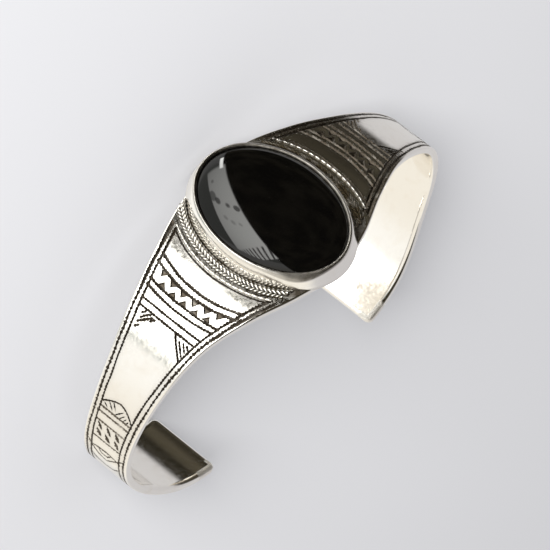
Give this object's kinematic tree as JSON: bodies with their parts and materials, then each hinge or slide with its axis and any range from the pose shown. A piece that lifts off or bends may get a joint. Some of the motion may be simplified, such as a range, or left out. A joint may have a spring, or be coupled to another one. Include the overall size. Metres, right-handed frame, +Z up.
{
  "type": "open cuff bracelet",
  "caption": "Open tapered silver cuff with a smooth bezel, an oval black stone, herringbone braids and engraved line bands, lying on its edge.",
  "frame": {"origin": "centre of the part's box, on the surface that it rests on", "axes": "+X left-right across the hoop as seen from the stone, -Y the stone's side, +Y the opening between the ends, +Z up"},
  "size_m": [0.0626, 0.0452, 0.024],
  "materials": {
    "silver": "polished silver, darkened in the engraved lines and in the braid",
    "stone": "opaque black, highly polished"
  },
  "bodies": {
    "root": {"cuff": "silver", "stone": "stone"}
  },
  "joints": []
}
